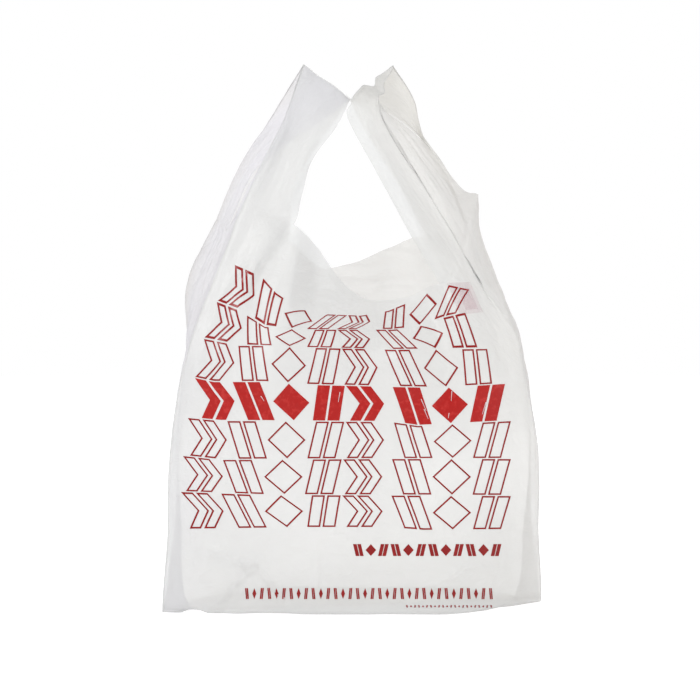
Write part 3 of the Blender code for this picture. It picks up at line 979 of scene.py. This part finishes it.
def film_shape():
    """The settled film, creased."""
    film = Film()
    z = film.co[:, 2]
    count = len(film.co)
    body = np.array(film.body)
    columns = np.arange(RING)
    gusset = ((columns > COLUMNS) & (columns < HALF)) | (columns > HALF + COLUMNS)
    high = ramp(z[body], *MOUTH_FROM)
    middle = np.minimum(np.abs(columns - COLUMNS / 2), np.abs(columns - HALF - COLUMNS / 2))
    middle = 1 - ramp(middle / FACE_COLUMNS, *MIDDLE_TO)

    slack_across, slack_along, upright, level, facets, hold = np.zeros((6, count))
    slack_across[body] = mixed(BODY_ACROSS, high, gusset)
    slack_along[body] = mixed(BODY_ALONG, high, gusset)
    upright[body] = mixed(BODY_UPRIGHT, high * (1 - middle), gusset)
    level[body] = mixed(BODY_LEVEL, high * middle, (columns > HALF) * high * middle)
    facets[body] = mixed(BODY_FACETS, high, columns > COLUMNS)
    for column in (0, COLUMNS, HALF, HALF + COLUMNS):
        hold[body[:, column]] = CREASE_HOLD
    for rows in film.handles.values():
        g = np.array(rows)
        t = 1 - np.abs(np.linspace(-1, 1, len(g)))
        loose = (1 - ramp(t, *LOOSE_TO))[1:-1, None]
        g, t = g[1:-1], t[1:-1]
        slack_across[g] = HANDLE_ACROSS * loose
        slack_along[g] = HANDLE_ALONG * loose
        upright[g] = mixed(HANDLE_UPRIGHT, loose)
        facets[g] = mixed(HANDLE_FACETS, loose)
        hold[g] = ramp(t, *HELD_FROM)[:, None]
        for edge in (0, -1, STRIP):
            hold[g[:, edge]] = np.maximum(hold[g[:, edge]], EDGE_HOLD)
    floor = 1 - ramp(z, *FLOOR_TO)
    hold = np.maximum(hold, floor)
    for half in film.base:
        hold[np.array(half)] = 1.0

    strength = {"upright": upright, "level": level, "facets": facets}
    wrinkles = np.zeros(count)
    for kind, share, *pattern in CREASES:
        wrinkles += share * strength[kind] * creases(film, *pattern)
    wrinkles *= 1 - floor
    normals = vertex_normals(film.co, film.quads)
    film.co = film.co - normals * (0.001 * valleys(film))[:, None]
    start = normals * (CREASE_START * wrinkles)[:, None]
    rounds = ROUNDS
    film.co = settle(film, slack_across, slack_along, hold, start, rounds)
    normals = vertex_normals(film.co, film.quads)
    loose = 1 - ramp(hold, CREASE_HOLD, LOOSE_HOLD)
    raised = CREASE_HEIGHT * wrinkles * loose + 0.001 * sharp_folds(film)
    film.co = film.co + normals * raised[:, None]
    lifted(film)
    return film


def placed(name, data):
    """A new object in the scene."""
    made = bpy.data.objects.new(name, data)
    bpy.context.scene.collection.objects.link(made)
    return made


def mesh_object(name, co, faces):
    data = bpy.data.meshes.new(name)
    data.from_pydata([tuple(p) for p in co], [], faces)
    data.validate()
    data.update()
    data.polygons.foreach_set("use_smooth", [True] * len(data.polygons))
    return placed(name, data)


def end_faces(film):
    """The small folded triangles where the seal's ends meet the sides."""
    ring = film.body[0]
    left = ring[HALF + COLUMNS:] + ring[:1]
    right = ring[COLUMNS:HALF + 1]
    faces = []
    for rows, before, after in zip(film.base, (left, right), (right, left)):
        faces.append((before[STRIP:] + [row[0] for row in rows])[::-1])
        faces.append([row[-1] for row in rows] + after[STRIP::-1])
    return faces


def put(node, **values):
    """Sets a node's inputs by name."""
    for key, value in values.items():
        node.inputs[key.replace("_", " ")].default_value = value
    return node


def node_kit(material):
    """Two calls that make the nodes of a material and join them."""
    tree = material.node_tree

    def new(kind, **values):
        return put(tree.nodes.new("ShaderNode" + kind), **values)

    def join(source, out, target, into):
        tree.links.new(source.outputs[out], target.inputs[into])

    return new, join


def principled(name, colour, roughness):
    made = bpy.data.materials.new(name)
    made.use_nodes = True
    shader = made.node_tree.nodes["Principled BSDF"]
    return made, put(shader, Base_Color=(*colour, 1), Roughness=roughness)


def tint_node(new, tints):
    """A node that gives each share of the way its colour."""
    made = new("ValToRGB")
    stops = made.color_ramp.elements
    for k, (at, colour) in enumerate(tints):
        stop = stops[k] if k < 2 else stops.new(at)
        stop.position = at
        stop.color = (*colour, 1)
    return made


def film_material():
    """Milky film: part glossy white, part glow from behind, part clear."""
    made, shader = principled("white_film", FILM_WHITE, GLOSS_ROUGHNESS)
    output = made.node_tree.nodes["Material Output"]
    new, join = node_kit(made)
    place = new("TexCoord")

    drawn_out = new("Mapping", Scale=(1.0, 2.6, 1.0))
    join(place, "UV", drawn_out, "Vector")
    fine = new("TexNoise", Scale=240.0, Detail=3.0, Distortion=0.5)
    join(drawn_out, "Vector", fine, "Vector")
    crinkle = new("TexNoise", Scale=70.0, Detail=2.0, Distortion=1.2)
    join(place, "UV", crinkle, "Vector")
    soft = new("Bump", Strength=0.5, Distance=0.0016)
    join(crinkle, "Fac", soft, "Height")
    bump = new("Bump", Strength=0.3, Distance=0.0008)
    join(fine, "Fac", bump, "Height")
    join(soft, "Normal", bump, "Normal")

    clouds = new("TexNoise", Scale=14.0, Detail=3.0)
    join(place, "UV", clouds, "Vector")
    split = new("SeparateXYZ")
    join(place, "UV", split, "Vector")
    way_round = new("MapRange", From_Max=TUBE)
    join(split, "X", way_round, "Value")
    sway = new("Math")
    sway.operation = "MULTIPLY_ADD"
    sway.inputs[1].default_value = PAINTED_TINT_SWAY
    join(clouds, "Fac", sway, 0)
    join(way_round, "Result", sway, 2)
    # Painted light: the base colour is tinted paler and cooler on the left, warmer and greyer
    # round the right and back, by the way round the bag
    tint = tint_node(new, PAINTED_LIGHT_TINTS)
    join(sway, "Value", tint, "Fac")
    join(tint, "Color", shader, "Base Color")

    glow = new("BsdfTranslucent")
    join(tint, "Color", glow, "Color")
    clear = new("BsdfTransparent")
    for target in (shader, glow):
        join(bump, "Normal", target, "Normal")
    milk = new("MixShader", Fac=GLOW_SHARE)
    join(shader, "BSDF", milk, 1)
    join(glow, "BSDF", milk, 2)
    cover = new("MapRange", To_Min=FILM_COVER[0], To_Max=FILM_COVER[1])
    join(clouds, "Fac", cover, "Value")
    edge = new("LayerWeight", Blend=0.35)
    join(bump, "Normal", edge, "Normal")
    denser = new("MapRange", To_Max=SLOPE_COVER)
    join(edge, "Facing", denser, "Value")
    total = new("Math")
    total.use_clamp = True
    join(cover, "Result", total, 0)
    join(denser, "Result", total, 1)
    whole = new("MixShader")
    join(total, "Value", whole, "Fac")
    join(clear, "BSDF", whole, 1)
    join(milk, "Shader", whole, 2)
    join(whole, "Shader", output, "Surface")
    return made


def turned_to(thing, place, aim):
    """Puts a light or the camera in its place, facing its aim."""
    thing.location = place
    thing.rotation_euler = (aim - Vector(place)).to_track_quat("-Z", "Y").to_euler()


def stage_and_light():
    world = bpy.data.worlds.new("studio")
    bpy.context.scene.world = world
    world.use_nodes = True
    new, join = node_kit(world)
    soft = put(world.node_tree.nodes["Background"], Color=WHITE, Strength=WORLD_LIGHT)
    white = new("Background", Color=WHITE, Strength=1)
    path = new("LightPath")
    choose = new("MixShader")
    join(path, "Is Camera Ray", choose, "Fac")
    join(soft, "Background", choose, 1)
    join(white, "Background", choose, 2)
    join(choose, "Shader", world.node_tree.nodes["World Output"], "Surface")

    bpy.ops.mesh.primitive_circle_add(
        vertices=64, radius=FLOOR_RADIUS, fill_type="NGON", location=(0, 0, -FLOOR_DROP)
    )
    floor = bpy.context.object
    floor.name = "floor"
    pale, shader = principled("pale_floor", (0.94, 0.94, 0.94), roughness=0.9)
    new, join = node_kit(pale)
    path = new("LightPath")
    lift = new("Math")
    lift.operation = "MULTIPLY"
    lift.inputs[1].default_value = FLOOR_GLOW
    join(path, "Is Camera Ray", lift, 0)
    put(shader, Emission_Color=WHITE)
    join(lift, "Value", shader, "Emission Strength")
    floor.data.materials.append(pale)
    floor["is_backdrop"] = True
    for name, place, size, power in LIGHTS:
        light = bpy.data.lights.new(name, "AREA")
        light.shape = "DISK"
        light.size = size
        light.energy = power
        turned_to(placed(name, light), place, LIGHTS_AIM)


def camera():
    back = Vector((0, -math.cos(CAMERA_RISE), math.sin(CAMERA_RISE)))
    lens = bpy.data.cameras.new("camera")
    lens.sensor_width = SENSOR
    lens.lens = SENSOR * CAMERA_DISTANCE / VIEW_WIDTH
    lens.clip_start = 0.05
    eye = placed("camera", lens)
    turned_to(eye, CAMERA_AIM + back * CAMERA_DISTANCE, CAMERA_AIM)
    bpy.context.scene.camera = eye
    return eye


def height_at(line, x):
    return float(np.interp(x, *zip(*line)))


def inset(polygon, by):
    """The polygon moved in on all sides. Its corners go clockwise in the view."""
    count = len(polygon)
    moved = []
    for i in range(count):
        before, here, after = (Vector(polygon[(i + d) % count]) for d in (-1, 0, 1))
        a, b = (here - before).normalized(), (after - here).normalized()
        na, nb = Vector((-a.y, a.x)), Vector((-b.y, b.x))
        middle = (na + nb).normalized()
        moved.append(tuple(here + middle * by / max(0.3, middle.dot(na))))
    return moved


class Print:
    """Gathers printed patches laid on the front of the film."""

    def __init__(self, surface, eye):
        self.surface, self.eye = surface, eye
        self.co, self.faces, self.inks = [], [], []
        self.lift = PRINT_LIFT

    def lay(self, x, y):
        """The film's point under a place in the 700 x 700 view."""
        frame = self.eye.matrix_world.to_3x3()
        per, middle = SENSOR / VIEW_PIXELS / self.eye.data.lens, VIEW_PIXELS / 2
        ray = frame @ Vector(((x - middle) * per, (middle - y) * per, -1.0))
        hit, normal, _, _ = self.surface.ray_cast(self.eye.location, ray.normalized())
        if hit is None:
            return None
        if normal.dot(ray) > 0:
            normal = -normal
        return hit + normal * self.lift

    def solid(self, shape, place, between, ink):
        """A filled shape, laid in this many bands and a core."""
        a, b = Vector(shape[0]), Vector(shape[len(shape) // 2])
        middle = (a + b) / 2
        core = [tuple(middle.lerp(Vector(corner), CORE_SHARE)) for corner in shape]
        last = self.ring(shape, core, place, ink, between)
        if all(kept for _, kept in last):
            self.faces.append([i for i, _ in last])
            self.inks.append(ink)

    def ring(self, outer, inner, place, ink, between=1):
        """A band between two polygons with as many corners as each other."""
        points = []
        for b in range(between + 1):
            for i in range(len(outer)):
                o0, o1 = Vector(outer[i]), Vector(outer[(i + 1) % len(outer)])
                n0, n1 = Vector(inner[i]), Vector(inner[(i + 1) % len(inner)])
                steps = max(1, round((o1 - o0).length / PRINT_STEP))
                for k in range(steps):
                    at = o0.lerp(o1, k / steps)
                    at = at.lerp(n0.lerp(n1, k / steps), b / between)
                    points.append(place(at.x, at.y))
        first = len(self.co)
        width = len(points) // (between + 1)
        kept = [p is not None for p in points]
        self.co.extend(p if p is not None else Vector() for p in points)
        for r in range(between):
            for k in range(width):
                corners = [
                    r * width + k, r * width + (k + 1) % width,
                    (r + 1) * width + (k + 1) % width, (r + 1) * width + k,
                ]
                if all(kept[c] for c in corners):
                    self.faces.append([first + c for c in corners])
                    self.inks.append(ink)
        end = between * width
        return [(first + i, kept[i]) for i in range(end, end + width)]


def print_rows(surface, eye):
    ink = Print(surface, eye)
    for row, ends in enumerate(ENDS):
        top, bottom = LINES[row], LINES[row + 1]
        length = (ends[1] - ends[0] + ends[3] - ends[2]) / 2
        wide = (length - GAP) / SHAPES_IN_ROW
        middle = VIEW_PIXELS / 2
        tall = max(SHORTEST_ROW, height_at(bottom, middle) - height_at(top, middle))

        def place(x, y):
            u, v = x / length, y / (tall + ROW_GAP_SHARE * OUTLINE)
            left = ends[0] + (ends[2] - ends[0]) * v
            right = ends[1] + (ends[3] - ends[1]) * v
            px = left + (right - left) * u
            upper, lower = height_at(top, px), height_at(bottom, px)
            return ink.lay(px, upper + (lower - upper) * v)

        for k in range(SHAPES_IN_ROW):
            start = k * wide + (GAP if k >= SHAPES_BEFORE_GAP else 0)
            for form in SHAPES[k % len(SHAPES)]:
                shape = [(start + x * wide * SHAPE_FILL, y * tall) for x, y in form]
                if row == SOLID_ROW:
                    ink.solid(shape, place, 6, RED_INK)
                else:
                    ink.ring(shape, inset(shape, OUTLINE), place, OUTLINE_INK)
    for left, right, top, bottom, count, fill in SMALL_ROWS:
        wide, tall = (right - left) / count, bottom - top
        for k in range(count):
            for form in SMALL_SHAPES[k % len(SMALL_SHAPES)]:
                shape = [(left + (k + fill * x) * wide, top + y * tall) for x, y in form]
                ink.solid(shape, ink.lay, 3, OUTLINE_INK)
    for shape, lift in zip(GHOST_SHAPES, GHOST_LIFTS):
        ink.lift = lift * PRINT_LIFT
        ink.solid(shape, ink.lay, 5, GHOST_INK)
    # Painted highlights: pale glint lines laid over the solid row, where light would catch
    # the creased ink
    ink.lift = GLINT_STREAK_LIFT * PRINT_LIFT
    for x0, y0, x1, y1 in GLINT_STREAKS:
        side = Vector((y0 - y1, x1 - x0)).normalized() * GLINT_STREAK_WIDTH
        ends = [Vector((x0, y0)) - side, Vector((x0, y0)) + side, Vector((x1, y1))]
        ink.solid([tuple(p) for p in ends + [ends[2] - side]], ink.lay, 1, GLINT_INK)
    return ink


def front_surface(film):
    """The front face of the film, up to its creases, for the print."""
    quads = grid_quads([row[:COLUMNS + 1] for row in film.body])
    return BVHTree.FromPolygons([Vector(p) for p in film.co], quads.tolist())


def ink_material(name, worn_colour, colour, cover):
    made, shader = principled(name, colour, GLOSS_ROUGHNESS)
    put(shader, Specular_IOR_Level=0.4, Alpha=cover)
    new, join = node_kit(made)
    place = new("TexCoord")
    worn = new("TexNoise", Scale=260.0, Detail=4.0)
    tint = tint_node(new, [(0.25, worn_colour), (0.5, colour)])
    join(place, "Object", worn, "Vector")
    join(worn, "Fac", tint, "Fac")
    join(tint, "Color", shader, "Base Color")
    crinkle = new("TexNoise", Scale=90.0, Detail=3.0, Distortion=1.0)
    join(place, "Object", crinkle, "Vector")
    bump = new("Bump", Strength=0.4, Distance=0.0016)
    join(crinkle, "Fac", bump, "Height")
    join(bump, "Normal", shader, "Normal")
    return made


def flat_map(piece, film):
    """Gives the film its flat coordinates, in metres, as its UV map."""
    data = piece.data
    index = np.empty(len(data.loops), dtype=np.int64)
    data.loops.foreach_get("vertex_index", index)
    around = film.around[index]
    first = np.array([p.loop_start for p in data.polygons])
    size = np.array([p.loop_total for p in data.polygons])
    lowest = np.repeat(np.minimum.reduceat(around, first), size)
    whole = 1000 * TUBE
    around[(lowest < 0.1 * whole) & (around > 0.9 * whole)] -= whole
    flat = 0.001 * np.stack([around, film.along[index]], axis=1)
    data.uv_layers.new(name="flat").data.foreach_set("uv", flat.ravel())


film = film_shape()
low, high = film.co.min(axis=0), film.co.max(axis=0)
shift = (np.sum(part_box("carrier_bag"), axis=0) - low - high) / 2
shift[2] = BAG_LIFT - low[2]
film.co = film.co + shift
bag = mesh_object("bag_film", film.co, film.quads.tolist() + end_faces(film))
flat_map(bag, film)
bag.data.materials.append(film_material())
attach(bag, "root")
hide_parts("carrier_bag")

bpy.context.scene.view_settings.view_transform = "Standard"
stage_and_light()
eye = camera()
bpy.context.view_layer.update()
ink = print_rows(front_surface(film), eye)
pattern = mesh_object("red_print", ink.co, ink.faces)
for values in INKS:
    pattern.data.materials.append(ink_material(*values))
pattern.data.polygons.foreach_set("material_index", ink.inks)
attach(pattern, "root")
[[list(map(float, corner)) for corner in box] for box in (cad_box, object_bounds())]
